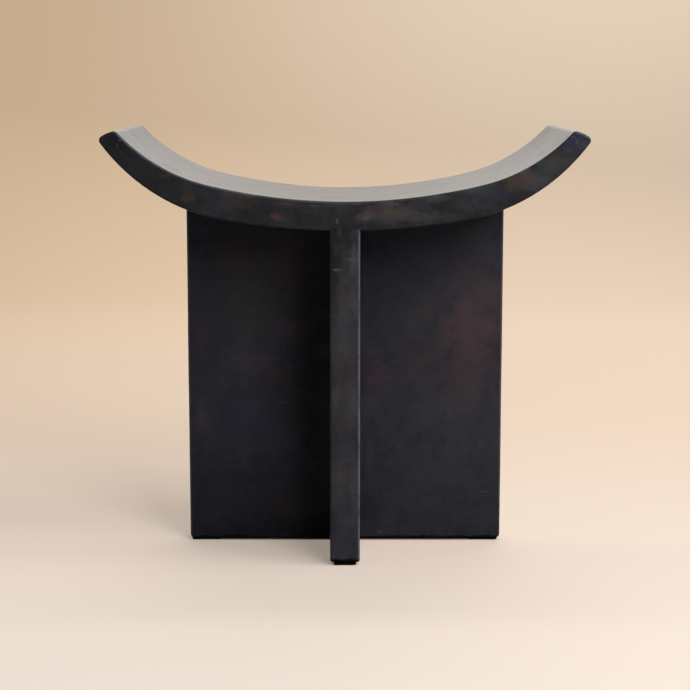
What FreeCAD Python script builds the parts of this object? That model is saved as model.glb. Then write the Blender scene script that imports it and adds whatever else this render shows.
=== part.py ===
import FreeCAD, Part
import math
import os

Vector = FreeCAD.Vector

# Stool with a saddle seat on two crossed panels, all welded up hollow from sheet.
# +X runs along the seat, +Y to the back, +Z up. The origin is on the floor, under the middle.

# Seat, mm
seat_height = 386.0              # floor to the low point of the saddle
seat_thickness = 30.5            # saddle to underside at the middle
seat_depth = 240.0               # front to back
saddle_radius = 600.0            # wide arc in the middle of the saddle
saddle_arc_reach = 141.0         # middle to where that arc gives way to a tighter one
underside_radius = 698.0         # wide arc in the middle of the underside
underside_arc_reach = 126.5      # middle to where that arc gives way to a tighter one
tip_reach = 235.0                # middle to the inner edge of each end
tip_rise = 72.4                  # low point of the saddle up to that edge
tip_face_length = 20.8           # from the inner to the outer edge of each end
tip_face_fall = 25.0             # how far the end face falls outwards, degrees
tip_face_crown = 1.4             # how far its middle stands out from a flat face
tip_inner_round = 6.0
tip_outer_round = 5.0
seat_arris_round = 2.5
seat_sheet = 3.0

# Ribs inside the seat
rib_sheet = 3.0
lap_clearance = 0.2              # round each half lap where two ribs cross

# Crossed panels
fin_thickness = 31.6             # the panel that runs front to back
wing_thickness = 31.6            # the panel that runs left to right
wing_reach = 172.8               # middle to the outer edge of each wing
panel_corner_round = 4.0
panel_arris_round = 2.5
panel_sheet = 3.0
web_sheet = 3.0
vent_radius = 4.0                # lets the air out of the hollow panels
vent_offset = 25.0               # from the nearest web inside the panel

# Tabs that stand in slots and set the sheets for welding
tab_length = 30.0
slot_clearance = 0.2
side_tab_height_shares = (0.22, 0.72)    # of the height of a panel
fin_tab_place_share = 0.55               # of half the depth of the fin

# Floor pads
pad_length = 33.0
pad_width = 24.0
pad_thickness = 3.3
pad_end_inset = 1.5
pad_corner_round = 2.5

overrun = 20.0                   # how far a cutting shape runs past what it cuts
near = 0.01                      # places closer than this are one place

half_depth = seat_depth / 2
underside_height = seat_height - seat_thickness
tip_height = seat_height + tip_rise
open_top = tip_height + overrun
panel_height = underside_height - pad_thickness


def box(x_range, y_range, z_range):
    """A block between two values on each axis."""
    size = [high - low for low, high in (x_range, y_range, z_range)]
    return Part.makeBox(*size, Vector(x_range[0], y_range[0], z_range[0]))


def both_sides(reach):
    return (-reach, reach)


def prism(edges, half_length):
    """A closed outline in the XZ plane, drawn out along Y on both sides of it."""
    face = Part.Face(Part.Wire(Part.__sortEdges__(edges)))
    face.translate(Vector(0, -half_length, 0))
    return face.extrude(Vector(0, 2 * half_length, 0))


def mirrored(shape):
    """The same piece on the left."""
    return shape.mirror(Vector(0, 0, 0), Vector(1, 0, 0))


def turned_back(shape):
    """The same piece at the back."""
    return shape.mirror(Vector(0, 0, 0), Vector(0, 1, 0))


def line(start, end):
    return Part.LineSegment(start, end).toShape()


# Outline of the seat

tip_fall = math.radians(tip_face_fall)
tip_along = Vector(math.cos(tip_fall), 0, -math.sin(tip_fall))
tip_outward = Vector(math.sin(tip_fall), 0, math.cos(tip_fall))
tip_inner_edge = Vector(tip_reach, 0, tip_height)
tip_outer_edge = tip_inner_edge + tip_along * tip_face_length


def saddle_line(low_height, radius, arc_reach, tip):
    """A wide middle arc and the tighter arc that runs on from it to the tip."""
    middle = Vector(0, 0, low_height + radius)
    turn = math.asin(arc_reach / radius)
    to_middle = Vector(-math.sin(turn), 0, math.cos(turn))
    join = middle - to_middle * radius
    chord = tip - join
    end_radius = chord.dot(chord) / (2 * chord.dot(to_middle))
    end_middle = join + to_middle * end_radius
    end_turn = math.atan2(tip.x - end_middle.x, end_middle.z - tip.z)
    return middle, radius, turn, end_middle, end_radius, end_turn


saddle = saddle_line(seat_height, saddle_radius, saddle_arc_reach, tip_inner_edge)
underside = saddle_line(underside_height, underside_radius, underside_arc_reach, tip_outer_edge)


def saddle_edges(profile, inset, run_on):
    """The three arcs of a profile, moved up by an inset, and their two end points."""
    middle, radius, turn, end_middle, end_radius, end_turn = profile

    def point(centre, length, angle):
        return centre + Vector(math.sin(angle), 0, -math.cos(angle)) * (length - inset)

    last_turn = end_turn + run_on / end_radius
    low = point(middle, radius, 0)
    edges = []
    ends = []
    for side in (-1, 1):
        end_centre = Vector(side * end_middle.x, 0, end_middle.z)
        join = point(middle, radius, side * turn)
        halfway = point(end_centre, end_radius, side * (turn + last_turn) / 2)
        end = point(end_centre, end_radius, side * last_turn)
        edges.append(Part.Arc(join, halfway, end).toShape())
        edges.append(Part.Arc(low, point(middle, radius, side * turn / 2), join).toShape())
        ends.append(end)
    return edges, ends[0], ends[1]


def region_above(profile, inset, half_length):
    """All the space above a profile that has been moved up by an inset."""
    edges, left_end, right_end = saddle_edges(profile, inset, overrun)
    left_top = Vector(left_end.x, 0, open_top + overrun)
    right_top = Vector(right_end.x, 0, open_top + overrun)
    edges += [line(left_end, left_top), line(left_top, right_top), line(right_top, right_end)]
    return prism(edges, half_length)


def tip_zone(depth_in, half_length):
    """The space past a line that lies a given depth inside the right end face."""
    inner = tip_inner_edge - tip_outward * depth_in - tip_along * seat_thickness
    outer = tip_outer_edge - tip_outward * depth_in + tip_along * seat_thickness
    past = tip_outward * (depth_in + overrun)
    corners = [inner, outer, outer + past, inner + past]
    edges = [line(corners[i - 1], corners[i]) for i in range(len(corners))]
    return prism(edges, half_length)


def seat_block():
    """The seat as one closed body, with its edges and ends ground round."""
    top_edges, top_left, top_right = saddle_edges(saddle, 0, 0)
    low_edges, low_left, low_right = saddle_edges(underside, 0, 0)
    ends = [end_face_edge(top_left, low_left, -1), end_face_edge(top_right, low_right, 1)]
    block = prism(top_edges + low_edges + ends, half_depth)
    for corner, radius in ((tip_inner_edge, tip_inner_round), (tip_outer_edge, tip_outer_round)):
        edges = [edge for edge in block.Edges if runs_front_to_back(edge, corner)]
        block = block.makeFillet(radius, edges)
    rims = [edge for edge in block.Edges if edge.BoundBox.YLength < near]
    return block.makeFillet(seat_arris_round, rims)


def end_face_edge(inner, outer, side):
    """The slightly crowned line of an end face, as the front shows it."""
    outward = Vector(side * tip_outward.x, 0, tip_outward.z)
    crown = (inner + outer) * 0.5 + outward * tip_face_crown
    return Part.Arc(inner, crown, outer).toShape()


def runs_front_to_back(edge, corner):
    start, end = [vertex.Point for vertex in edge.Vertexes]
    level = abs(start.x - end.x) + abs(start.z - end.z) < near
    return level and abs(abs(start.x) - corner.x) + abs(start.z - corner.z) < near


seat = seat_block()
past_depth = half_depth + overrun
inner_half_depth = half_depth - seat_sheet
above_underside = region_above(underside, 0, past_depth)
above_underside_skin = region_above(underside, seat_sheet, past_depth)
above_saddle_skin = region_above(saddle, -seat_sheet, past_depth)
right_tip = tip_zone(seat_sheet, past_depth)
left_tip = mirrored(right_tip)


def between_cheeks(shape):
    span = box(both_sides(tip_reach + seat_depth), both_sides(inner_half_depth), (0, open_top))
    return shape.common(span)


# Seat pieces

def seat_front_cheek():
    """Crescent plate that closes the front of the seat."""
    span = box(both_sides(tip_reach + seat_depth), (-past_depth, -inner_half_depth), (0, open_top))
    return seat.common(span)


def seat_top_skin():
    """Bent sheet that is sat on, between the cheeks and the end caps."""
    skin = between_cheeks(seat).common(above_saddle_skin)
    return skin.cut(left_tip).cut(right_tip)


def seat_underside_skin():
    """Bent sheet under the seat, with slots for the tabs of the panels."""
    skin = between_cheeks(seat).cut(above_underside_skin).cut(left_tip).cut(right_tip)
    for x_range, y_range in top_tab_places():
        slot = box(widened(x_range), widened(y_range), (0, seat_height))
        skin = skin.cut(slot)
    return skin


def seat_right_end_cap():
    """Strip that closes the slanting end."""
    return between_cheeks(seat).common(right_tip)


def seat_hollow():
    """The space that the seat sheets enclose."""
    hollow = between_cheeks(seat).common(above_underside_skin).cut(above_saddle_skin)
    return hollow.cut(left_tip).cut(right_tip)


# Ribs inside the seat: two crescent formers over the wing sheets, and two stiffeners over the
# fin sheets, which cross them in half laps

former_span = (-wing_thickness / 2, -wing_thickness / 2 + rib_sheet)
stiffener_span = (fin_thickness / 2 - rib_sheet, fin_thickness / 2)
lap_height = seat_height - seat_thickness / 2


def widened(span, gap=slot_clearance):
    return (span[0] - gap, span[1] + gap)


def opposite(span):
    return (-span[1], -span[0])


def lap_slots(z_range):
    """The four slots where a former and a stiffener cross."""
    slots = []
    for x_range in (stiffener_span, opposite(stiffener_span)):
        for y_range in (former_span, opposite(former_span)):
            slots.append(box(widened(x_range, lap_clearance), widened(y_range, lap_clearance), z_range))
    return slots


def seat_front_former():
    """Crescent rib over the front sheets of the wings, slotted from above."""
    length = both_sides(tip_reach + seat_depth)
    former = seat_hollow().common(box(length, former_span, (0, open_top)))
    return former.cut(lap_slots((lap_height - lap_clearance, open_top)))


def seat_right_stiffener():
    """Strip over the right sheet of the fin, slotted from below."""
    stiffener = seat_hollow().common(box(stiffener_span, both_sides(half_depth), (0, open_top)))
    return stiffener.cut(lap_slots((0, lap_height + lap_clearance)))


# Bodies of the two crossed panels

def panel_block(reach, thickness):
    """A standing panel along X, open at the top, its lower corners and its edges ground round."""
    low = pad_thickness
    bend = panel_corner_round
    diagonal = bend * (1 - math.sqrt(0.5))
    edges = [line(Vector(-reach + bend, 0, low), Vector(reach - bend, 0, low)),
             line(Vector(-reach, 0, open_top), Vector(reach, 0, open_top))]
    for side in (-1, 1):
        foot = Vector(side * (reach - bend), 0, low)
        heel = Vector(side * (reach - diagonal), 0, low + diagonal)
        rise = Vector(side * reach, 0, low + bend)
        edges.append(Part.Arc(foot, heel, rise).toShape())
        edges.append(line(rise, Vector(side * reach, 0, open_top)))
    block = prism(edges, thickness / 2)
    rims = [edge for edge in block.Edges if is_ground(edge)]
    return block.makeFillet(panel_arris_round, rims)


def is_ground(edge):
    limits = edge.BoundBox
    return limits.YLength < near and limits.ZMin < tip_height


fin_inner = fin_thickness / 2 - panel_sheet
wing_inner = wing_thickness / 2 - panel_sheet
plate_top = pad_thickness + panel_sheet
fin_body = panel_block(half_depth, fin_thickness)
fin_body.rotate(Vector(0, 0, 0), Vector(0, 0, 1), 90)
fin_body = fin_body.common(box(both_sides(fin_thickness), both_sides(past_depth), (0, lap_height)))
fin_body = fin_body.cut(seat)
wings_body = panel_block(wing_reach, wing_thickness).cut(above_underside)
wing_side = (fin_thickness / 2, wing_reach + overrun)
right_wing_body = wings_body.common(box(wing_side, both_sides(wing_thickness), (0, open_top)))

# Tabs: the panel sheets stand with tabs in the underside skin, and the wing sheets have tabs in the
# side sheets of the fin

front_wing_sheet_span = (-wing_thickness / 2, -wing_inner)
right_fin_sheet_span = (fin_inner, fin_thickness / 2)
wing_middle = (fin_thickness / 2 + wing_reach) / 2
wing_tab_span = (wing_middle - tab_length / 2, wing_middle + tab_length / 2)
fin_tab_place = fin_tab_place_share * half_depth
fin_tab_span = (fin_tab_place - tab_length / 2, fin_tab_place + tab_length / 2)


def top_tab_places():
    """Where the tabs of the wing sheets and fin sheets pass through the underside skin."""
    places = []
    for x_range in (wing_tab_span, opposite(wing_tab_span)):
        for y_range in (front_wing_sheet_span, opposite(front_wing_sheet_span)):
            places.append((x_range, y_range))
    for x_range in (right_fin_sheet_span, opposite(right_fin_sheet_span)):
        for y_range in (fin_tab_span, opposite(fin_tab_span)):
            places.append((x_range, y_range))
    return places


def top_tab(x_range, y_range):
    """A tab that ends level with the inner face of the underside skin."""
    return box(x_range, y_range, (lap_height / 2, open_top)).cut(above_underside_skin)


def side_tab_spans():
    spans = []
    for share in side_tab_height_shares:
        middle = pad_thickness + panel_height * share
        spans.append((middle - tab_length / 2, middle + tab_length / 2))
    return spans


def joined(shape, tabs):
    return shape.fuse(tabs).removeSplitter()


# Fin pieces

def fin_right_side_sheet():
    """Full side of the fin, with tabs for the seat and slots for the wing sheets."""
    length = both_sides(past_depth)
    sheet = fin_body.common(box(right_fin_sheet_span, length, (0, open_top)))
    tabs = [top_tab(right_fin_sheet_span, span) for span in (fin_tab_span, opposite(fin_tab_span))]
    sheet = joined(sheet, tabs)
    through = widened(right_fin_sheet_span, panel_sheet)
    for y_range in (front_wing_sheet_span, opposite(front_wing_sheet_span)):
        for z_range in side_tab_spans():
            sheet = sheet.cut(box(through, widened(y_range), widened(z_range)))
    return sheet


def fin_front_edge_strip():
    """Strip between the side sheets, flush with the front of the seat."""
    length = (-past_depth, -half_depth + panel_sheet)
    return fin_body.common(box(both_sides(fin_inner), length, (0, open_top)))


def fin_bottom_plate():
    """Floor of the fin, with a vent for each of its three hollows."""
    length = both_sides(half_depth - panel_sheet)
    plate = fin_body.common(box(both_sides(fin_inner), length, (0, plate_top)))
    reach = wing_thickness / 2 + vent_offset
    return plate.cut([vent(0, y) for y in (-reach, 0, reach)])


def fin_front_web():
    """Web in line with the front sheets of the wings."""
    span = (-wing_thickness / 2, -wing_thickness / 2 + web_sheet)
    return fin_body.common(box(both_sides(fin_inner), span, (plate_top, open_top)))


def vent(x, y):
    return Part.makeCylinder(vent_radius, plate_top, Vector(x, y, 0))


# Wing pieces

def right_wing_front_sheet():
    """Front of the right wing, with a tab for the seat and two for the fin."""
    length = (fin_thickness / 2, wing_reach + overrun)
    sheet = right_wing_body.common(box(length, front_wing_sheet_span, (0, open_top)))
    tabs = [top_tab(wing_tab_span, front_wing_sheet_span)]
    for z_range in side_tab_spans():
        tabs.append(box(right_fin_sheet_span, front_wing_sheet_span, z_range))
    return joined(sheet, tabs)


def right_wing_edge_strip():
    """Strip that closes the outer edge of the wing."""
    length = (wing_reach - panel_sheet, wing_reach + overrun)
    return right_wing_body.common(box(length, both_sides(wing_inner), (0, open_top)))


def right_wing_bottom_plate():
    """Floor of the wing, with a vent on each side of its web."""
    length = (fin_thickness / 2, wing_reach - panel_sheet)
    plate = right_wing_body.common(box(length, both_sides(wing_inner), (0, plate_top)))
    return plate.cut([vent(wing_middle + gap, 0) for gap in (-vent_offset, vent_offset)])


def right_wing_inner_web():
    """Web that holds the two sheets of the wing apart."""
    length = (wing_middle - web_sheet / 2, wing_middle + web_sheet / 2)
    return right_wing_body.common(box(length, both_sides(wing_inner), (plate_top, open_top)))


# Floor pads

def right_floor_pad():
    """Pad near the outer end of the wing, narrower than the panel."""
    outer = wing_reach - pad_end_inset
    pad = box((outer - pad_length, outer), both_sides(pad_width / 2), (0, pad_thickness))
    return with_round_corners(pad)


def front_floor_pad():
    """Pad near the front end of the fin."""
    outer = half_depth - pad_end_inset
    pad = box(both_sides(pad_width / 2), (-outer, -outer + pad_length), (0, pad_thickness))
    return with_round_corners(pad)


def with_round_corners(pad):
    uprights = [edge for edge in pad.Edges if edge.BoundBox.ZLength > pad_thickness / 2]
    return pad.makeFillet(pad_corner_round, uprights)


def write(name, shape):
    solid = shape.Solids[0]
    print(name, len(shape.Solids), shape.isValid(), round(solid.Volume))
    solid.exportStep("parts/" + name + ".step")


def write_left_and_right(ending, right_shape):
    write(ending.replace("SIDE", "right"), right_shape)
    write(ending.replace("SIDE", "left"), mirrored(right_shape))


def write_front_and_back(ending, front_shape):
    write(ending.replace("END", "front"), front_shape)
    write(ending.replace("END", "back"), turned_back(front_shape))


os.makedirs("parts", exist_ok=True)

write("seat_top_skin", seat_top_skin())
write("seat_underside_skin", seat_underside_skin())
write_front_and_back("seat_END_cheek", seat_front_cheek())
write_left_and_right("seat_SIDE_end_cap", seat_right_end_cap())
write_front_and_back("seat_END_former", seat_front_former())
write_left_and_right("seat_SIDE_stiffener", seat_right_stiffener())

write_left_and_right("fin_SIDE_side_sheet", fin_right_side_sheet())
write_front_and_back("fin_END_edge_strip", fin_front_edge_strip())
write_front_and_back("fin_END_web", fin_front_web())
write("fin_bottom_plate", fin_bottom_plate())

wing_front_sheet = right_wing_front_sheet()
write_left_and_right("SIDE_wing_front_sheet", wing_front_sheet)
write_left_and_right("SIDE_wing_back_sheet", turned_back(wing_front_sheet))
write_left_and_right("SIDE_wing_edge_strip", right_wing_edge_strip())
write_left_and_right("SIDE_wing_bottom_plate", right_wing_bottom_plate())
write_left_and_right("SIDE_wing_inner_web", right_wing_inner_web())

write_front_and_back("END_floor_pad", front_floor_pad())
write_left_and_right("SIDE_floor_pad", right_floor_pad())
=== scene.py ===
import math

import bpy
import bmesh
from mathutils import Euler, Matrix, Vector, noise


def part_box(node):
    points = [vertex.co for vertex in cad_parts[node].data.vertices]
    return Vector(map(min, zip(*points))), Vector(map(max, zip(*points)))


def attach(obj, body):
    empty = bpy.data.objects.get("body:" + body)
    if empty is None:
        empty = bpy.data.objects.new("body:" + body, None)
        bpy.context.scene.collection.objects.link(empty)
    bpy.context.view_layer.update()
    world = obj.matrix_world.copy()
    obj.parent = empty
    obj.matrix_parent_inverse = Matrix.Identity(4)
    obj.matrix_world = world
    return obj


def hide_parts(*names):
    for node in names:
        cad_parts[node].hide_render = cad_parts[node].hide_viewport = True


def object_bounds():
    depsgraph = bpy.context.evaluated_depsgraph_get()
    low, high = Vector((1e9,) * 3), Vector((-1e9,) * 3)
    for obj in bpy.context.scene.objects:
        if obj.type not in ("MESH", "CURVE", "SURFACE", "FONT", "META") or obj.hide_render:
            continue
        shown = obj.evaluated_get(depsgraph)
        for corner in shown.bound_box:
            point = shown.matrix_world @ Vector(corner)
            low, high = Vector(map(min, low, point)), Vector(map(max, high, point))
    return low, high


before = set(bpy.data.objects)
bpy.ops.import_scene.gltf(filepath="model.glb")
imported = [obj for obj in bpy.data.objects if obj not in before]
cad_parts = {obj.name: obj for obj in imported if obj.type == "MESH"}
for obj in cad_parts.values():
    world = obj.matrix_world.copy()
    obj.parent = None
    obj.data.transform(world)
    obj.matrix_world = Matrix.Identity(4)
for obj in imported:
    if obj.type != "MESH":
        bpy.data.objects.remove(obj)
cad_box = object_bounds()


# Camera: a long lens nearly two metres in front of the stool, a little above its seat, looking
# slightly down on it.

picture_width = 690
focal_pixels = 1767.8
camera_place = (0.0, -1.9374, 0.5154)
camera_fall = 0.1520

camera_data = bpy.data.cameras.new("camera")
camera_data.sensor_width = 36.0
camera_data.lens = camera_data.sensor_width * focal_pixels / picture_width
camera = bpy.data.objects.new("camera", camera_data)
camera.location = camera_place
camera.rotation_euler = Euler((math.pi / 2 - camera_fall, 0, 0))
bpy.context.collection.objects.link(camera)
bpy.context.scene.camera = camera
bpy.context.scene.view_settings.view_transform = "Standard"


# Studio sweep: one smooth pale sheet that lies on the floor and turns up into a wall far behind
# the stool. Its paint gets warmer towards the wall, with painted shade at the upper left and
# painted light at the upper right, and the floor is painted a little darker on the right.

# how far the sweep reaches, where its wall stands, its bend, and how much it shines by itself
sweep_reach = 7.0
sweep_wall_place = 3.2
sweep_bend = 1.2
sweep_bend_steps = 24
sweep_height = 4.5
sweep_glow = 0.4
sweep_merge = 0.001
haze = (0.74, 0.62, 0.51, 1)

# what the two panels cover of the floor, from the middle outwards, where the floor's glow is taken
# away as painted shade
wing_cover = (0.1705, 0.0125)
fin_cover = (0.0125, 0.117)
cover_fade = 0.0035

floor_paint = (0.72, 0.63, 0.56, 1)
wall_paint = (0.68, 0.54, 0.42, 1)
# painted shade at the upper left of the wall and painted light at the upper right
upper_left_shade_paint = (0.62, 0.46, 0.31, 1)
upper_right_light_paint = (0.83, 0.70, 0.54, 1)
# painted shade: how much darker the floor is painted on the right than on the left, against the key light
floor_shading = 0.13

# where one paint runs into the next, and where the far parts of the sweep begin and end
left_blend = (0.9, -0.9)
wall_blend = (-0.6, 0.9)
upper_left_blend = (0.3, 2.8)
upper_right_blend = (0.1, 0.9)
far_sideways = (1.15, 2.4)
far_forward = (-0.7, -1.8)
far_up = (1.4, 3.0)


def shader(tree, kind, sockets=None, **settings):
    """One node. Its sockets are set to values, or joined to other nodes' outputs."""
    made = tree.nodes.new("ShaderNode" + kind)
    for name, value in settings.items():
        setattr(made, name, value)
    for name, value in (sockets or {}).items():
        if isinstance(value, bpy.types.NodeSocket):
            tree.links.new(value, made.inputs[name])
        else:
            made.inputs[name].default_value = value
    return made


def maths(tree, operation, first, second=0.0, clamp=False):
    return shader(tree, "Math", {0: first, 1: second}, operation=operation, use_clamp=clamp).outputs[0]


def blended(tree, share, first, second, how="MIX"):
    """Two colours mixed by a share of the second."""
    mix = shader(tree, "Mix", {0: share}, data_type="RGBA", blend_type=how)
    for place, value in ((6, first), (7, second)):
        if isinstance(value, bpy.types.NodeSocket):
            tree.links.new(value, mix.inputs[place])
        else:
            mix.inputs[place].default_value = value
    return mix.outputs[2]


def eased(tree, value, low, high):
    """0 at low, 1 at high, and a smooth rise between."""
    ramp = shader(tree, "MapRange", {0: value, 1: low, 2: high}, interpolation_type="SMOOTHSTEP")
    return ramp.outputs[0]


def covered(tree, place, half_sizes):
    """1 on the floor under one of the two panels and 0 outside it, softly."""
    shares = []
    for axis, half_size in zip("XY", half_sizes):
        reach = maths(tree, "ABSOLUTE", place.outputs[axis])
        shares.append(eased(tree, reach, half_size + cover_fade, half_size - cover_fade))
    return maths(tree, "MULTIPLY", *shares)


def new_material(name):
    material = bpy.data.materials.new(name)
    material.use_nodes = True
    return material, material.node_tree, material.node_tree.nodes["Principled BSDF"]


sweep_mesh = bpy.data.meshes.new("studio_sweep")
bm = bmesh.new()
ends = [bm.verts.new((x, -sweep_reach, 0)) for x in (-sweep_reach, sweep_reach)]
edges = [bm.edges.new(ends)]


def carried_on(edges, step):
    """The last edges of a sheet drawn on by a step; gives the new last edges."""
    made = bmesh.ops.extrude_edge_only(bm, edges=edges)["geom"]
    corners = [item for item in made if isinstance(item, bmesh.types.BMVert)]
    bmesh.ops.translate(bm, verts=corners, vec=step)
    drawn = [item for item in made if isinstance(item, bmesh.types.BMEdge)]
    return [edge for edge in drawn if all(corner in corners for corner in edge.verts)]


edges = carried_on(edges, Vector((0, sweep_reach + sweep_wall_place - sweep_bend, 0)))
bend_middle = Vector((0, sweep_wall_place - sweep_bend, sweep_bend))
turned = bmesh.ops.spin(bm, geom=edges, cent=bend_middle, axis=(1, 0, 0), angle=math.pi / 2,
                        steps=sweep_bend_steps, use_merge=False, use_duplicate=False)["geom_last"]
edges = [item for item in turned if isinstance(item, bmesh.types.BMEdge)]
carried_on(edges, Vector((0, 0, sweep_height)))
bmesh.ops.remove_doubles(bm, verts=bm.verts, dist=sweep_merge)
bmesh.ops.recalc_face_normals(bm, faces=bm.faces)
for face in bm.faces:
    face.smooth = True
bm.to_mesh(sweep_mesh)
bm.free()
sweep = bpy.data.objects.new("studio_sweep", sweep_mesh)
bpy.context.collection.objects.link(sweep)

material, tree, surface = new_material("sweep_paint")
place = shader(tree, "SeparateXYZ", {0: shader(tree, "TexCoord").outputs["Object"]})
left = eased(tree, place.outputs["X"], *left_blend)
right = maths(tree, "SUBTRACT", 1.0, left)
# painted shade: the floor a little darker on the right and paler on the left
shading = maths(tree, "ADD", maths(tree, "MULTIPLY", left, floor_shading), 1 - floor_shading / 2)
paint = blended(tree, 1.0, floor_paint, shading, "MULTIPLY")
paint = blended(tree, eased(tree, place.outputs["Y"], *wall_blend), paint, wall_paint)
# painted shade at the upper left of the wall and painted light at the upper right
upper_left = maths(tree, "MULTIPLY", left, eased(tree, place.outputs["Y"], *upper_left_blend))
paint = blended(tree, upper_left, paint, upper_left_shade_paint)
upper_right = maths(tree, "MULTIPLY", right, eased(tree, place.outputs["Z"], *upper_right_blend))
paint = blended(tree, upper_right, paint, upper_right_light_paint)


def seen_directly(tree):
    """1 for what is seen itself, in a reflection or through glass, and 0 for light on its way."""
    rays = shader(tree, "LightPath").outputs
    reflected = maths(tree, "MAXIMUM", rays["Is Glossy Ray"], rays["Is Transmission Ray"])
    return maths(tree, "MAXIMUM", rays["Is Camera Ray"], reflected)


seen = seen_directly(tree)
sideways = eased(tree, maths(tree, "ABSOLUTE", place.outputs["X"]), *far_sideways)
forward = eased(tree, place.outputs["Y"], *far_forward)
up = eased(tree, place.outputs["Z"], *far_up)
far = maths(tree, "MAXIMUM", sideways, maths(tree, "MAXIMUM", forward, up))
far = maths(tree, "MULTIPLY", far, seen)
paint = blended(tree, far, paint, haze)
# painted shade: the floor gets no glow under the panels
painted_shade_under_panels = maths(tree, "MAXIMUM", covered(tree, place, wing_cover), covered(tree, place, fin_cover))
open_floor = maths(tree, "SUBTRACT", 1.0, painted_shade_under_panels)
glow = maths(tree, "ADD", maths(tree, "MULTIPLY", far, 1 - sweep_glow), sweep_glow)
glow = maths(tree, "MULTIPLY", maths(tree, "MULTIPLY", seen, open_floor), glow)
tree.links.new(glow, surface.inputs["Emission Strength"])
tree.links.new(paint, surface.inputs["Emission Color"])
matt = maths(tree, "MULTIPLY", maths(tree, "SUBTRACT", 1.0, far), 1 - sweep_glow)
tree.links.new(blended(tree, 1.0, paint, matt, "MULTIPLY"), surface.inputs["Base Color"])
surface.inputs["Roughness"].default_value = 0.85
surface.inputs["Specular IOR Level"].default_value = 0.1
sweep_mesh.materials.append(material)


# Studio light: two softboxes on the right, one in front and one at the side, one behind the stool
# that gives the seat its grey sheen, one over the wall, and a little light from all round.

stool_middle = Vector((0, 0, 0.22))
lamp_colour = (1.0, 0.985, 0.97)
back_lamp_colour = (0.94, 0.97, 1.0)
world_colour = (0.93, 0.96, 1.0, 1)
world_light = 0.16


def softbox(name, place, aim, size, power, colour=lamp_colour):
    data = bpy.data.lights.new(name, "AREA")
    data.shape = "RECTANGLE"
    data.size, data.size_y = size
    data.energy = power
    data.color = colour
    lamp = bpy.data.objects.new(name, data)
    lamp.location = place
    lamp.rotation_euler = (Vector(aim) - Vector(place)).to_track_quat("-Z", "Y").to_euler()
    lamp.visible_camera = False
    bpy.context.collection.objects.link(lamp)


def seen_at(turn, rise, distance):
    """A place at a turn to the right of the front and a rise above the floor, in degrees."""
    turn, rise = math.radians(turn), math.radians(rise)
    flat = math.cos(rise) * distance
    height = math.sin(rise) * distance
    return stool_middle + Vector((math.sin(turn) * flat, -math.cos(turn) * flat, height))


softbox("key_softbox", place=seen_at(27, 32, 2.4), aim=stool_middle, size=(1.0, 1.3), power=45)
softbox("side_softbox", place=seen_at(70, 48, 2.2), aim=stool_middle, size=(1.2, 1.2), power=36)
softbox("back_softbox", place=(0.3, 2.3, 1.45), aim=(0, 0, 0.4), size=(2.6, 1.2), power=27,
        colour=back_lamp_colour)
softbox("wall_softbox", place=(0, 1.3, 3.3), aim=(0, 3.2, 0.6), size=(3.5, 0.8), power=60)

world = bpy.data.worlds.new("studio")
bpy.context.scene.world = world
world.use_nodes = True
tree = world.node_tree
backing = tree.nodes["Background"]
seen = seen_directly(tree)
tree.links.new(blended(tree, seen, world_colour, haze), backing.inputs["Color"])
tree.links.new(maths(tree, "ADD", maths(tree, "MULTIPLY", seen, 1 - world_light), world_light),
               backing.inputs["Strength"])


# Patina: the sheets are dark metal, coloured by heat and chemicals and then waxed. The ground is
# slate grey and near black in broad clouds, with brown and rosy blooms, and the edges are rubbed
# paler and carry a painted highlight. Some soot blooms are painted shade, and some dust and frost
# blooms are painted light and highlights. Blooms on the front are placed one by one, and those
# further back fall by chance.

# Some of these colours also stand for light: the near black ones for painted shade, the grey dust for
# painted light on the lit side, and the pale frost and rubbed ones for painted highlights.
slate = (0.0208, 0.0215, 0.0278, 1)
soot_and_shade = (0.0085, 0.0088, 0.0108, 1)
brown = (0.0270, 0.0215, 0.0205, 1)
dust_and_light = (0.0430, 0.0420, 0.0440, 1)
ochre = (0.0560, 0.0460, 0.0330, 1)
verdigris = (0.0270, 0.0370, 0.0370, 1)
frost_and_highlight = (0.0850, 0.0880, 0.1050, 1)
bottom_shade_black = (0.0012, 0.0012, 0.0012, 1)
olive = (0.0300, 0.0290, 0.0250, 1)
indigo = (0.0230, 0.0250, 0.0400, 1)
rose = (0.0580, 0.0298, 0.0345, 1)
rubbed_and_highlight = (0.180, 0.195, 0.240, 1)

# blooms: their depth, the wander of their edges against their size, its grain, and rim and core
bloom_depth = 0.05
bloom_ragged = 3.0
bloom_grain = 0.8
coarsest_bloom = 38.0
finest_bloom = 900.0
bloom_rim = 0.5
bloom_core = 0.6

# scratches, and ground edges, rubbed paler and with a painted highlight, which stay dark from
# below and from the side away from the light
scratch_stretch = (0.04, 1.0, 1.0)
scratch_turns = ((0.3, 0.7, 0.2), (1.1, -1.2, 0.9))
scratch_spacings = (420.0, 360.0)
scratch_span = (0.72, 0.78)
scratch_share = 0.12
arris_width = 0.6
from_below = (-0.20, -0.03)
from_worn_and_lit_side = (-0.12, 0.02)

# clouds of the ground: how much of each colour comes through
dark_share = 0.3
brown_share = 0.4
olive_share = 0.2
fleck_depth = 0.45
brown_shift = (0.31, 0.17, 0.42)
olive_shift = (0.73, 0.29, 0.11)

# blooms that fall by chance: colour, size, shift and strength
chance_blooms = ((rose, 0.050, (1.7, 0.4, 2.9), 0.55), (ochre, 0.040, (3.1, 2.2, 0.8), 0.4),
                 (verdigris, 0.045, (0.9, 4.1, 1.3), 0.5))
chance_span = 0.012

# how far up the sheets get darker towards the bottom, and how unevenly; then how the painted
# shade along the bottom edge wavers and fades
foot_height = 0.11
foot_waver = 0.03
bottom_shade_waver = 0.003
bottom_shade_fade = 0.001

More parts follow.
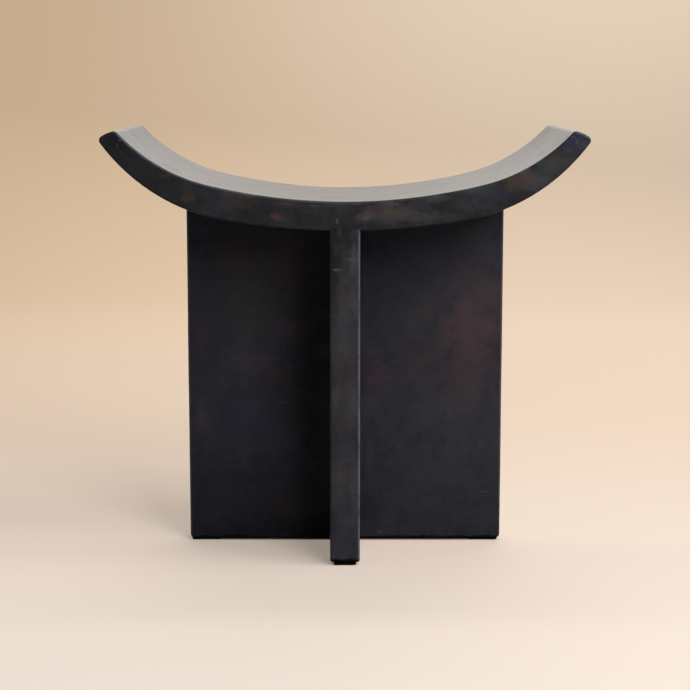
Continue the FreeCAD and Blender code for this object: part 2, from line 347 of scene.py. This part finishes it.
# gloss of the wax, and how rough the metal feels
wax_roughness = 0.27
mottle_roughness = 0.10
brown_roughness = 0.03
rose_roughness = 0.03
edge_polish = 0.10
ground_metal = 0.08
brown_metal_loss = 0.05
mottle_relief = 0.8
grain_relief = 0.2
scratch_relief = 0.5
relief_strength = 0.12
relief_depth = 0.0004


def new_group(name, takes, gives):
    """A shader group with named inputs and outputs, and its input and output nodes."""
    group = bpy.data.node_groups.new(name, "ShaderNodeTree")
    for label, kind, value in takes:
        socket = group.interface.new_socket(label, in_out="INPUT", socket_type="NodeSocket" + kind)
        if value is not None:
            socket.default_value = value
    for label, kind in gives:
        group.interface.new_socket(label, in_out="OUTPUT", socket_type="NodeSocket" + kind)
    return group, group.nodes.new("NodeGroupInput").outputs, group.nodes.new("NodeGroupOutput").inputs


def placed(tree, group, sockets):
    """A group put into a material with its own values; gives its outputs."""
    made = tree.nodes.new("ShaderNodeGroup")
    made.node_tree = group
    for name, value in sockets.items():
        if isinstance(value, bpy.types.NodeSocket):
            tree.links.new(value, made.inputs[name])
        else:
            made.inputs[name].default_value = value
    return made.outputs


def vector_maths(tree, operation, sockets):
    return shader(tree, "VectorMath", sockets, operation=operation)


def shifted(tree, place, shift):
    """The same place read elsewhere in a pattern."""
    return shader(tree, "Mapping", {"Vector": place, "Location": shift}).outputs[0]


def clouds(tree, place, size, low, high, detail=4.0, ragged=0.6, swirl=0.5):
    """A cloudy mask whose clouds are about one size, in metres, across."""
    drawn = shader(tree, "TexNoise", {"Vector": place, "Scale": 1 / size, "Detail": detail,
                                      "Roughness": ragged, "Distortion": swirl})
    return eased(tree, drawn.outputs["Fac"], low, high)


# one bloom of colour, soft and ragged at its edge
bloom, takes, gives = new_group("patina_bloom",
                                [("Place", "Vector", None), ("Middle", "Vector", None),
                                 ("Reach", "Vector", (0.02, 0.02, 0.02)), ("Ragged", "Float", 0.02),
                                 ("Fineness", "Float", coarsest_bloom), ("Softness", "Float", 1.0),
                                 ("Streaks", "Vector", (1, 1, 1))],
                                [("Mask", "Float")])
drawn_out = vector_maths(bloom, "MULTIPLY", {0: takes["Place"], 1: takes["Streaks"]}).outputs[0]
wander = shader(bloom, "TexNoise", {"Vector": drawn_out, "Scale": takes["Fineness"], "Detail": 6.0,
                                    "Roughness": 0.7}).outputs["Color"]
wander = vector_maths(bloom, "SUBTRACT", {0: wander, 1: (0.5, 0.5, 0.5)}).outputs[0]
wander = vector_maths(bloom, "SCALE", {0: wander, "Scale": takes["Ragged"]}).outputs[0]
offset = vector_maths(bloom, "SUBTRACT", {0: takes["Place"], 1: takes["Middle"]}).outputs[0]
offset = vector_maths(bloom, "ADD", {0: offset, 1: wander}).outputs[0]
offset = vector_maths(bloom, "DIVIDE", {0: offset, 1: takes["Reach"]}).outputs[0]
distance = vector_maths(bloom, "LENGTH", {0: offset}).outputs["Value"]
outer = maths(bloom, "ADD", maths(bloom, "MULTIPLY", takes["Softness"], bloom_rim), 1.0)
inner = maths(bloom, "SUBTRACT", 0.5, maths(bloom, "MULTIPLY", takes["Softness"], bloom_core))
bloom.links.new(eased(bloom, distance, outer, inner), gives["Mask"])

# where an edge between a face and its neighbours has been ground round
arris, takes, gives = new_group("ground_arris", [("Face Axis", "Vector", (0, 1, 0))],
                                [("Mask", "Float")])
normal = shader(arris, "NewGeometry").outputs["Normal"]
lean = vector_maths(arris, "DOT_PRODUCT", {0: normal, 1: takes["Face Axis"]}).outputs["Value"]
lean = maths(arris, "MULTIPLY", lean, lean)
lean = maths(arris, "MULTIPLY", lean, maths(arris, "SUBTRACT", 1.0, lean))
halfway = maths(arris, "MULTIPLY", lean, 4.0, clamp=True)
arris.links.new(maths(arris, "POWER", halfway, arris_width), gives["Mask"])

# hairline scratches that run one way
scratch, takes, gives = new_group("hairline_scratches",
                                  [("Place", "Vector", None), ("Turn", "Vector", None),
                                   ("Spacing", "Float", 300.0)], [("Mask", "Float")])
run = shader(scratch, "Mapping", {"Vector": takes["Place"], "Rotation": takes["Turn"],
                                  "Scale": scratch_stretch})
hair = shader(scratch, "TexNoise", {"Vector": run.outputs[0], "Scale": takes["Spacing"], "Detail": 1.0})
kept = clouds(scratch, takes["Place"], size=0.05, low=0.56, high=0.66, detail=2.0)
hair = eased(scratch, hair.outputs["Fac"], *scratch_span)
scratch.links.new(maths(scratch, "MULTIPLY", hair, kept), gives["Mask"])

# the whole finish; blooms come in as masks
patina, takes, gives = new_group("waxed_patina",
                                 [("Place", "Vector", None), ("Face Axis", "Vector", (0, 1, 0)),
                                  ("Soot And Shade", "Float", 0.0), ("Olive", "Float", 0.0),
                                  ("Indigo", "Float", 0.0), ("Verdigris", "Float", 0.0),
                                  ("Ochre", "Float", 0.0), ("Rose", "Float", 0.0),
                                  ("Dust And Light", "Float", 0.0), ("Frost And Highlight", "Float", 0.0),
                                  ("Wear", "Float", 0.5), ("Worn And Lit Side", "Vector", (0, 0, 0)),
                                  ("Ground", "Color", slate), ("Smudge", "Float", 0.5),
                                  ("Foot", "Float", 0.6), ("Bottom Shade Top", "Float", 0.0055),
                                  ("Chance From", "Float", 0.0)],
                                 [("Colour", "Color"), ("Roughness", "Float"), ("Metal", "Float"),
                                  ("Height", "Float")])
place = takes["Place"]
normal = shader(patina, "NewGeometry").outputs["Normal"]
dark_clouds = clouds(patina, place, size=0.085, low=0.42, high=0.62)
brown_clouds = clouds(patina, shifted(patina, place, brown_shift), size=0.055, low=0.50, high=0.68,
                      swirl=1.2)
olive_clouds = clouds(patina, shifted(patina, place, olive_shift), size=0.030, low=0.52, high=0.72,
                      swirl=0.8)
mottle = shader(patina, "TexNoise", {"Vector": place, "Scale": 260.0, "Detail": 5.0,
                                     "Roughness": 0.65}).outputs["Fac"]
grain = shader(patina, "TexNoise", {"Vector": place, "Scale": 1500.0, "Detail": 2.0}).outputs["Fac"]
edge = placed(patina, arris, {"Face Axis": takes["Face Axis"]})["Mask"]
edge_broken = clouds(patina, place, size=0.030, low=0.25, high=0.60, detail=5.0)
facing = shader(patina, "SeparateXYZ", {0: normal}).outputs["Z"]
# the painted edge highlight is kept off edges that face down and off the side away from the light
edge = maths(patina, "MULTIPLY", edge, eased(patina, facing, *from_below))
towards = vector_maths(patina, "DOT_PRODUCT", {0: normal, 1: takes["Worn And Lit Side"]}).outputs["Value"]
edge = maths(patina, "MULTIPLY", edge, eased(patina, towards, *from_worn_and_lit_side))
edge = maths(patina, "MULTIPLY", maths(patina, "MULTIPLY", edge, edge_broken), takes["Wear"])
ways = []
for turn, spacing in zip(scratch_turns, scratch_spacings):
    ways.append(placed(patina, scratch, {"Place": place, "Turn": turn, "Spacing": spacing})["Mask"])
marks = maths(patina, "MAXIMUM", *ways)
height = shader(patina, "SeparateXYZ", {0: place}).outputs["Z"]
backward = shader(patina, "SeparateXYZ", {0: place}).outputs["Y"]
behind = eased(patina, maths(patina, "SUBTRACT", backward, takes["Chance From"]), 0.0, chance_span)

# its colour, from the ground up
colour = blended(patina, maths(patina, "MULTIPLY", dark_clouds, dark_share), takes["Ground"], soot_and_shade)
colour = blended(patina, maths(patina, "MULTIPLY", brown_clouds, brown_share), colour, brown)
colour = blended(patina, maths(patina, "MULTIPLY", olive_clouds, olive_share), colour, olive)
for tint, size, shift, share in chance_blooms:
    chance = clouds(patina, shifted(patina, place, shift), size, low=0.54, high=0.74, detail=6.0, swirl=0.9)
    chance = maths(patina, "MULTIPLY", maths(patina, "MULTIPLY", chance, behind), share)
    colour = blended(patina, chance, colour, tint)
# each sheet gets darker towards the bottom
foot = maths(patina, "ADD", height, maths(patina, "MULTIPLY", dark_clouds, foot_waver))
foot = maths(patina, "MULTIPLY", eased(patina, foot, foot_height, 0.0), takes["Foot"])
colour = blended(patina, foot, colour, soot_and_shade)
# the soot blooms, which are partly painted shade
colour = blended(patina, takes["Soot And Shade"], colour, soot_and_shade)
smudge = clouds(patina, place, size=0.016, low=0.25, high=0.75, detail=6.0, ragged=0.7)
smudge = maths(patina, "SUBTRACT", smudge, 0.5)
uneven = maths(patina, "ADD", maths(patina, "MULTIPLY", smudge, takes["Smudge"]), 1.0)
colour = blended(patina, 1.0, colour, uneven, "MULTIPLY")
# the dust blooms are partly painted light, and the frost blooms partly painted highlights
for kind, tint in (("Olive", olive), ("Indigo", indigo), ("Verdigris", verdigris), ("Ochre", ochre),
                   ("Rose", rose), ("Dust And Light", dust_and_light), ("Frost And Highlight", frost_and_highlight)):
    colour = blended(patina, takes[kind], colour, tint)
fleck = maths(patina, "ADD", maths(patina, "MULTIPLY", mottle, fleck_depth), 1 - fleck_depth / 2)
colour = blended(patina, 1.0, colour, fleck, "MULTIPLY")
# pale rubbed edges, partly a painted highlight, and scratches
bright = maths(patina, "MAXIMUM", edge, maths(patina, "MULTIPLY", marks, scratch_share))
colour = blended(patina, bright, colour, rubbed_and_highlight)
# painted shade: the bottom few millimetres of every sheet go near black
bottom_shade = maths(patina, "ADD", height, maths(patina, "MULTIPLY", smudge, bottom_shade_waver))
bottom_shade = eased(patina, maths(patina, "SUBTRACT", bottom_shade, takes["Bottom Shade Top"]), bottom_shade_fade, -bottom_shade_fade)
colour = blended(patina, bottom_shade, colour, bottom_shade_black)
patina.links.new(colour, gives["Colour"])

# its gloss and relief
dull = maths(patina, "MULTIPLY", brown_clouds, brown_roughness)
dull = maths(patina, "ADD", dull, maths(patina, "MULTIPLY", takes["Rose"], rose_roughness))
dull = maths(patina, "ADD", dull, maths(patina, "MULTIPLY", mottle, mottle_roughness))
dull = maths(patina, "SUBTRACT", dull, maths(patina, "MULTIPLY", edge, edge_polish))
patina.links.new(maths(patina, "ADD", dull, wax_roughness), gives["Roughness"])
metal = maths(patina, "SUBTRACT", ground_metal, maths(patina, "MULTIPLY", brown_clouds, brown_metal_loss))
patina.links.new(maths(patina, "ADD", metal, edge, clamp=True), gives["Metal"])
relief = maths(patina, "MULTIPLY", mottle, mottle_relief)
relief = maths(patina, "ADD", relief, maths(patina, "MULTIPLY", grain, grain_relief))
relief = maths(patina, "SUBTRACT", relief, maths(patina, "MULTIPLY", marks, scratch_relief))
patina.links.new(relief, gives["Height"])


def most_of(tree, masks):
    """The strongest of several masks at each place."""
    strongest = masks[0]
    for mask in masks[1:]:
        strongest = maths(tree, "MAXIMUM", strongest, mask)
    return strongest


def bloom_masks(tree, place, depth, blooms, softness, streaks):
    """Blooms given as across, up, half width, half height and strength."""
    masks = []
    for across, up, half_width, half_height, strength in blooms:
        size = min(half_width, half_height)
        fineness = min(finest_bloom, max(coarsest_bloom, bloom_grain / size))
        mask = placed(tree, bloom, {"Place": place, "Middle": (across, depth, up),
                                    "Reach": (half_width, bloom_depth, half_height),
                                    "Ragged": bloom_ragged * size, "Fineness": fineness,
                                    "Softness": softness, "Streaks": streaks})["Mask"]
        masks.append(maths(tree, "MULTIPLY", mask, strength))
    return most_of(tree, masks)


def patinated(name, face_axis, depth, blooms, softness=1.0, gloss=0.05, streaks=(1, 1, 1), **values):
    """The finish on one group of sheets, with that group's own blooms."""
    material, tree, surface = new_material(name)
    place = shader(tree, "TexCoord").outputs["Object"]
    masks = {}
    for kind, shapes in blooms.items():
        masks[kind] = bloom_masks(tree, place, depth, shapes, softness, streaks)
    made = placed(tree, patina, {"Place": place, "Face Axis": face_axis, **masks, **values})
    tree.links.new(made["Colour"], surface.inputs["Base Color"])
    tree.links.new(made["Roughness"], surface.inputs["Roughness"])
    tree.links.new(made["Metal"], surface.inputs["Metallic"])
    relief = shader(tree, "Bump", {"Height": made["Height"], "Strength": relief_strength,
                                   "Distance": relief_depth})
    tree.links.new(relief.outputs[0], surface.inputs["Normal"])
    surface.inputs["Specular IOR Level"].default_value = gloss
    return material


# Seat: a crescent box. Two bent skins are welded between two crescent cheeks and two end strips,
# and every outer edge is ground round, so that no seam is left to see.

front_face = -0.12
seat_ground = (0.0165, 0.0168, 0.0195, 1)
# On the seat the soot blooms are partly painted shade on the left, the dust blooms partly painted light on
# the right, and the frost blooms at the tips painted highlights.
seat_blooms = {
    "Soot And Shade": [(-0.190, 0.415, 0.070, 0.050, 0.5), (-0.210, 0.428, 0.045, 0.035, 0.8),
             (-0.100, 0.372, 0.060, 0.012, 0.3), (0.130, 0.392, 0.020, 0.012, 0.2),
             (0.246, 0.450, 0.006, 0.006, 0.3), (-0.238, 0.447, 0.020, 0.018, 0.9)],
    "Olive": [(-0.165, 0.400, 0.014, 0.012, 0.3), (-0.110, 0.388, 0.040, 0.008, 0.2),
              (0.010, 0.366, 0.020, 0.006, 0.3), (-0.055, 0.3835, 0.020, 0.0040, 0.6)],
    "Indigo": [(-0.128, 0.3800, 0.012, 0.0080, 0.6), (0.145, 0.3930, 0.034, 0.0100, 0.5),
               (0.000, 0.3760, 0.012, 0.0040, 0.5), (0.205, 0.4080, 0.020, 0.0080, 0.5),
               (0.236, 0.4460, 0.018, 0.0140, 0.8)],
    "Verdigris": [(-0.008, 0.383, 0.018, 0.004, 0.7), (0.135, 0.3995, 0.022, 0.006, 0.6),
                  (0.206, 0.425, 0.014, 0.012, 0.5), (0.034, 0.3690, 0.010, 0.0030, 0.5),
                  (0.084, 0.3860, 0.018, 0.0035, 0.5), (-0.205, 0.425, 0.030, 0.024, 0.2)],
    "Ochre": [(0.171, 0.408, 0.010, 0.012, 0.5), (0.052, 0.3760, 0.022, 0.0060, 0.55),
              (-0.100, 0.3930, 0.016, 0.0035, 0.4), (-0.185, 0.412, 0.012, 0.006, 0.2),
              (0.012, 0.3835, 0.008, 0.0015, 0.6), (-0.160, 0.3900, 0.008, 0.0050, 0.3)],
    "Rose": [(-0.071, 0.3705, 0.0075, 0.0055, 0.8), (-0.062, 0.3670, 0.006, 0.0030, 0.25),
             (0.024, 0.375, 0.008, 0.007, 0.65), (0.035, 0.3790, 0.010, 0.0050, 0.45),
             (0.186, 0.411, 0.012, 0.010, 0.6), (-0.112, 0.383, 0.014, 0.006, 0.1),
             (0.000, 0.3850, 0.020, 0.0008, 0.6)],
    "Dust And Light": [(0.046, 0.3835, 0.016, 0.0035, 0.9), (0.092, 0.3895, 0.018, 0.0035, 0.8),
             (0.070, 0.3800, 0.026, 0.0060, 0.30), (0.126, 0.3970, 0.020, 0.0040, 0.35),
             (0.066, 0.3710, 0.050, 0.0080, 0.60), (0.020, 0.3710, 0.012, 0.0070, 0.7),
             (0.130, 0.3830, 0.028, 0.0070, 0.30), (0.184, 0.4155, 0.010, 0.0050, 0.8),
             (0.195, 0.4060, 0.024, 0.0120, 0.6), (0.218, 0.4240, 0.020, 0.0120, 0.35),
             (-0.031, 0.3815, 0.006, 0.0020, 0.6), (-0.062, 0.3840, 0.008, 0.0020, 0.4),
             (-0.122, 0.3935, 0.010, 0.0050, 0.4)],
    "Frost And Highlight": [(0.2370, 0.4470, 0.0012, 0.0035, 0.35), (0.2330, 0.4525, 0.0030, 0.0010, 0.35),
              (0.2290, 0.4380, 0.0030, 0.0010, 0.30), (0.2440, 0.4440, 0.0050, 0.0040, 0.15),
              (-0.2333, 0.4430, 0.0010, 0.0022, 0.3), (-0.2302, 0.4484, 0.0022, 0.0014, 0.35),
              (-0.008, 0.366, 0.0008, 0.0032, 0.9), (0.0210, 0.3685, 0.0050, 0.0011, 0.4),
              (0.0250, 0.3710, 0.0060, 0.0008, 0.25), (-0.0700, 0.3690, 0.0020, 0.0010, 0.2)],
}
seat_patina = patinated("seat_patina", (0, 1, 0), front_face, seat_blooms, softness=0.5, Wear=0.16,
                        Ground=seat_ground, **{"Worn And Lit Side": (1, 0, 0), "Chance From": -0.114})

merge_distance = 0.000002
flat_angle = math.radians(0.3)
crease_angle = math.radians(35)
slice_size = 0.010
wave_depth = 0.0002
wave_length = 0.085
wave_start = 0.0034
wave_full = 0.03
hand_seed = 5                    # so that the hand work comes out the same each time
noise.seed_set(hand_seed)


def hand_ground(place):
    """Where a point of the flawless stool lies on the real one, whose faces wave very slightly."""
    share = min(1.0, max(0.0, (place.z - wave_start) / (wave_full - wave_start)))
    drawn_in = Vector([1 - wave_depth / reach for reach in cad_box[1]])
    wave = noise.noise_vector(place / wave_length) * wave_depth * share
    return Vector(place[i] * drawn_in[i] for i in range(3)) + wave


def sliced_copy(node, size):
    """The merged mesh of a piece as it was built, cut into squares of one size on every axis."""
    bm = bmesh.new()
    bm.from_mesh(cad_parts[node].data)
    bmesh.ops.remove_doubles(bm, verts=bm.verts, dist=merge_distance)
    bmesh.ops.dissolve_limit(bm, angle_limit=flat_angle, verts=bm.verts, edges=bm.edges)
    low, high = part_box(node)
    for axis in range(3):
        across = Vector([1.0 if i == axis else 0.0 for i in range(3)])
        for count in range(math.ceil(low[axis] / size), math.ceil(high[axis] / size)):
            everything = bm.verts[:] + bm.edges[:] + bm.faces[:]
            bmesh.ops.bisect_plane(bm, geom=everything, plane_co=across * count * size, plane_no=across)
    return bm


def finished_piece(name, node, bm, material):
    """A finished mesh that stands for a piece of the built stool."""
    mesh = bpy.data.meshes.new(name)
    bm.to_mesh(mesh)
    bm.free()
    mesh.materials.append(material)
    piece = bpy.data.objects.new(name, mesh)
    bpy.context.collection.objects.link(piece)
    levelled = piece.modifiers.new("levelled", "WEIGHTED_NORMAL")
    levelled.keep_sharp = True
    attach(piece, "root")
    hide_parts(node)
    return piece


def ground_piece(node, material):
    """A sheet, waved by hand grinding, and shaded smoothly round its edges."""
    bm = sliced_copy(node, slice_size)
    for vert in bm.verts:
        vert.co = hand_ground(vert.co)
    for face in bm.faces:
        face.smooth = True
    for edge in bm.edges:
        edge.smooth = edge.calc_face_angle(0) < crease_angle
    finished_piece(node + "_ground", node, bm, material)


for node in ("seat_top_skin", "seat_underside_skin", "seat_front_cheek", "seat_back_cheek",
             "seat_left_end_cap", "seat_right_end_cap"):
    ground_piece(node, seat_patina)


# Fin: the panel that runs front to back. Two side sheets, front and back edge strips and a bottom
# plate are welded into a flat box whose front is flush with the seat.

fin_ground = (0.0262, 0.0262, 0.0330, 1)
# On the fin the frost blooms down its right edge are a painted highlight, the soot blooms near its left edge
# painted shade, and the dust blooms partly painted light.
fin_blooms = {
    "Soot And Shade": [(0.000, 0.350, 0.020, 0.024, 0.9), (-0.012, 0.305, 0.008, 0.055, 0.8),
             (-0.010, 0.331, 0.012, 0.018, 0.9), (-0.012, 0.045, 0.007, 0.020, 0.4)],
    "Olive": [(0.000, 0.318, 0.010, 0.026, 0.35), (-0.006, 0.290, 0.008, 0.016, 0.4),
              (0.000, 0.168, 0.010, 0.020, 0.4)],
    "Indigo": [(0.002, 0.0240, 0.014, 0.0140, 0.7), (0.004, 0.3500, 0.008, 0.0080, 0.25)],
    "Verdigris": [(0.002, 0.253, 0.012, 0.018, 0.35), (0.002, 0.123, 0.012, 0.014, 0.5),
                  (0.004, 0.046, 0.012, 0.012, 0.5)],
    "Ochre": [(-0.006, 0.190, 0.006, 0.016, 0.25), (-0.004, 0.234, 0.010, 0.005, 0.25),
              (-0.009, 0.3350, 0.0030, 0.0100, 0.15), (-0.010, 0.2200, 0.0040, 0.0100, 0.3)],
    "Rose": [(-0.002, 0.099, 0.008, 0.008, 0.35), (0.003, 0.284, 0.006, 0.010, 0.3),
             (-0.006, 0.355, 0.003, 0.008, 0.3), (0.006, 0.150, 0.008, 0.008, 0.25),
             (0.008, 0.210, 0.005, 0.012, 0.2)],
    "Dust And Light": [(0.005, 0.3262, 0.0070, 0.0016, 0.8), (-0.008, 0.3155, 0.0055, 0.0020, 0.9),
             (0.000, 0.275, 0.008, 0.024, 0.3), (0.006, 0.180, 0.010, 0.030, 0.35),
             (-0.010, 0.179, 0.006, 0.020, 0.5), (0.0, 0.235, 0.014, 0.020, 0.2),
             (0.0, 0.090, 0.014, 0.030, 0.3)],
    "Frost And Highlight": [(0.010, 0.325, 0.0055, 0.018, 0.28), (0.011, 0.284, 0.0060, 0.025, 0.20),
              (0.011, 0.180, 0.0060, 0.025, 0.12), (0.011, 0.080, 0.0060, 0.035, 0.14),
              (0.004, 0.3265, 0.0050, 0.0010, 0.15), (-0.010, 0.3158, 0.0030, 0.0014, 0.3)],
}
fin_patina = patinated("fin_patina", (1, 0, 0), front_face, fin_blooms, softness=0.7,
                       streaks=(1.4, 1.0, 0.4), Wear=0.52, Foot=0.1, Ground=fin_ground,
                       **{"Worn And Lit Side": (1, 0, 0), "Bottom Shade Top": 0.0070, "Chance From": -0.118})

for node in ("fin_left_side_sheet", "fin_right_side_sheet", "fin_front_edge_strip",
             "fin_back_edge_strip", "fin_bottom_plate"):
    ground_piece(node, fin_patina)


# Wings: the panel across the stool, in two halves that are welded to the sides of the fin. Each
# has a front and a back sheet, an outer edge strip and a bottom plate.

wing_front = -0.016
wing_ground = (0.0208, 0.0214, 0.0312, 1)
# On the wings the soot blooms beside the fin are its painted shadow, those low on the left make it darker
# towards the foot, and the dust blooms on the right are painted light.
wing_blooms = {
    "Soot And Shade": [(-0.100, 0.005, 0.140, 0.050, 1.0), (-0.034, 0.180, 0.030, 0.260, 0.8),
             (-0.110, 0.045, 0.120, 0.060, 0.7), (0.026, 0.128, 0.008, 0.020, 0.5),
             (0.040, 0.060, 0.020, 0.020, 0.3), (-0.120, 0.120, 0.040, 0.030, 0.2),
             (0.021, 0.178, 0.006, 0.018, 0.5), (0.021, 0.075, 0.008, 0.030, 0.35)],
    "Olive": [(-0.100, 0.290, 0.045, 0.080, 0.45), (0.085, 0.255, 0.020, 0.050, 0.3)],
    "Indigo": [(-0.105, 0.130, 0.060, 0.040, 0.4), (0.024, 0.290, 0.006, 0.040, 0.5),
               (0.080, 0.320, 0.070, 0.050, 0.5), (0.060, 0.230, 0.030, 0.040, 0.3),
               (0.022, 0.160, 0.006, 0.020, 0.5)],
    "Verdigris": [(0.026, 0.140, 0.006, 0.020, 0.4), (-0.150, 0.180, 0.016, 0.030, 0.2),
                  (0.120, 0.150, 0.040, 0.030, 0.2)],
    "Ochre": [(-0.100, 0.206, 0.024, 0.006, 0.16), (-0.158, 0.140, 0.008, 0.020, 0.2)],
    "Rose": [(0.138, 0.235, 0.034, 0.056, 0.85), (0.152, 0.275, 0.022, 0.032, 0.45),
             (0.134, 0.290, 0.028, 0.030, 0.25), (0.134, 0.185, 0.030, 0.040, 0.45),
             (0.035, 0.184, 0.015, 0.020, 0.36), (0.029, 0.213, 0.012, 0.015, 0.22),
             (0.085, 0.205, 0.040, 0.030, 0.15), (-0.092, 0.196, 0.026, 0.010, 0.22),
             (-0.122, 0.317, 0.020, 0.016, 0.15), (-0.060, 0.313, 0.022, 0.026, 0.22),
             (-0.060, 0.240, 0.018, 0.018, 0.2), (-0.158, 0.230, 0.010, 0.022, 0.2),
             (-0.156, 0.135, 0.008, 0.016, 0.15), (-0.060, 0.038, 0.032, 0.016, 0.1),
             (-0.147, 0.030, 0.022, 0.012, 0.1)],
    "Dust And Light": [(0.150, 0.060, 0.020, 0.014, 0.15), (-0.120, 0.200, 0.018, 0.020, 0.15),
             (0.135, 0.270, 0.060, 0.080, 0.4), (0.110, 0.170, 0.120, 0.240, 0.3),
             (0.155, 0.330, 0.030, 0.030, 0.5), (0.150, 0.215, 0.030, 0.050, 0.35),
             (0.027, 0.100, 0.0050, 0.0300, 0.35), (0.022, 0.305, 0.0030, 0.0300, 0.30)],
    "Frost And Highlight": [(0.156, 0.0560, 0.0060, 0.0008, 0.35), (0.150, 0.1080, 0.0040, 0.0008, 0.3)],
}
wing_patina = patinated("wing_patina", (0, 1, 0), wing_front, wing_blooms, gloss=0.02, Smudge=0.2,
                        Wear=0.25, Foot=0.3, Ground=wing_ground, **{"Chance From": -0.013})

for side in ("left", "right"):
    for ending in ("front_sheet", "back_sheet", "edge_strip", "bottom_plate"):
        ground_piece(side + "_wing_" + ending, wing_patina)


# Floor pads: black rubber, cut crookedly by hand with a knife and glued under the ends of the
# panels.

black = (0.0006, 0.0006, 0.0006, 1)
greyer_black = (0.002, 0.002, 0.002, 1)
rubber_roughness = 0.6
speck_roughness = 0.2
pad_slice = 0.0015
cut_waver = 0.0016
cut_length = 0.008
cut_lean = 0.10

pad_rubber, tree, surface = new_material("pad_rubber")
place = shader(tree, "TexCoord").outputs["Object"]
specks = shader(tree, "TexNoise", {"Vector": place, "Scale": 900.0, "Detail": 4.0}).outputs["Fac"]
tree.links.new(blended(tree, specks, black, greyer_black), surface.inputs["Base Color"])
surface.inputs["Specular IOR Level"].default_value = 0.03
roughness = maths(tree, "ADD", maths(tree, "MULTIPLY", specks, speck_roughness), rubber_roughness)
tree.links.new(roughness, surface.inputs["Roughness"])

for end in ("front", "back", "left", "right"):
    node = end + "_floor_pad"
    bm = sliced_copy(node, pad_slice)
    low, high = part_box(node)
    middle = (Vector(low) + Vector(high)) / 2
    for vert in bm.verts:
        waver = noise.noise_vector(vert.co / cut_length) * cut_waver
        drawn_in = cut_lean * (high[2] - vert.co.z) / (high[2] - low[2])
        vert.co.x += waver.x - (vert.co.x - middle.x) * drawn_in
        vert.co.y += waver.y - (vert.co.y - middle.y) * drawn_in
    for edge in bm.edges:
        edge.smooth = edge.calc_face_angle(0) < crease_angle
    finished_piece(node + "_cut", node, bm, pad_rubber)


# Inner ribs and webs: the same sheet, welded inside the seat and the panels to stiffen them, and
# left bare as it came from the mill because nobody sees it.

rolled_grey = (0.20, 0.20, 0.21, 1)
pale_rolled_grey = (0.36, 0.36, 0.37, 1)
rolled_roughness = 0.3
streak_roughness = 0.2

mill_sheet, tree, surface = new_material("mill_sheet")
place = shader(tree, "TexCoord").outputs["Object"]
rolled = shader(tree, "Mapping", {"Vector": place, "Scale": (30.0, 30.0, 900.0)})
streaks = shader(tree, "TexNoise", {"Vector": rolled.outputs[0], "Scale": 1.0, "Detail": 3.0}).outputs["Fac"]
tree.links.new(blended(tree, streaks, rolled_grey, pale_rolled_grey), surface.inputs["Base Color"])
roughness = maths(tree, "ADD", maths(tree, "MULTIPLY", streaks, streak_roughness), rolled_roughness)
tree.links.new(roughness, surface.inputs["Roughness"])
surface.inputs["Metallic"].default_value = 1.0

for node in ("seat_front_former", "seat_back_former", "seat_left_stiffener", "seat_right_stiffener",
             "fin_front_web", "fin_back_web", "left_wing_inner_web", "right_wing_inner_web"):
    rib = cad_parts[node]
    rib.data.materials.clear()
    rib.data.materials.append(mill_sheet)
